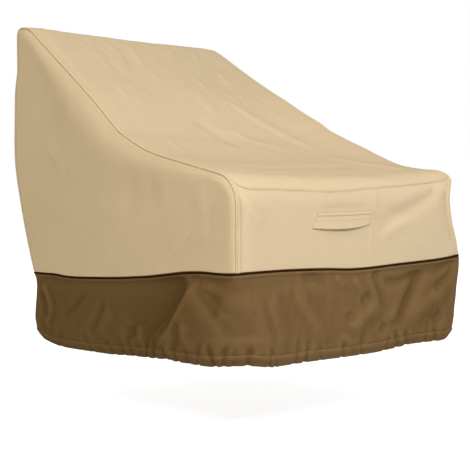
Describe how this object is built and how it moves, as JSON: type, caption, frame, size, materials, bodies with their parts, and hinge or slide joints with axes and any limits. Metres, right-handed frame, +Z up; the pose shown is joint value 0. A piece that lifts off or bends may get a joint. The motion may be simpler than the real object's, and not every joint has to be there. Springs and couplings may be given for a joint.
{
  "type": "fitted patio lounge chair cover",
  "caption": "Fitted two-colour cloth cover for a one-seat patio lounge chair, with side welts, a front handle strap and a gathered skirt under dark piping.",
  "frame": {"origin": "underside of the top panel in the middle of the ridge, where the top of the covered chair's back carries the cover", "axes": "+Z up, +Y from the front with the handle to the back, +X to the right as seen from the front"},
  "size_m": [0.8514, 1.024, 0.893],
  "materials": {
    "tan_cloth": "matt coated woven polyester",
    "tan_welt": "matt coated woven polyester",
    "tan_webbing": "matt coated woven polyester",
    "brown_cloth": "matt coated woven polyester",
    "dark_piping": "satin cord in a woven sleeve"
  },
  "bodies": {
    "root": {"front_panel": "tan_cloth", "top_panel": "tan_cloth", "back_panel": "tan_cloth", "side_panel_left": "tan_cloth", "side_panel_right": "tan_cloth", "side_welt_left": "tan_welt", "side_welt_right": "tan_welt", "handle": "tan_webbing", "skirt": "brown_cloth", "skirt_piping": "dark_piping"}
  },
  "joints": []
}
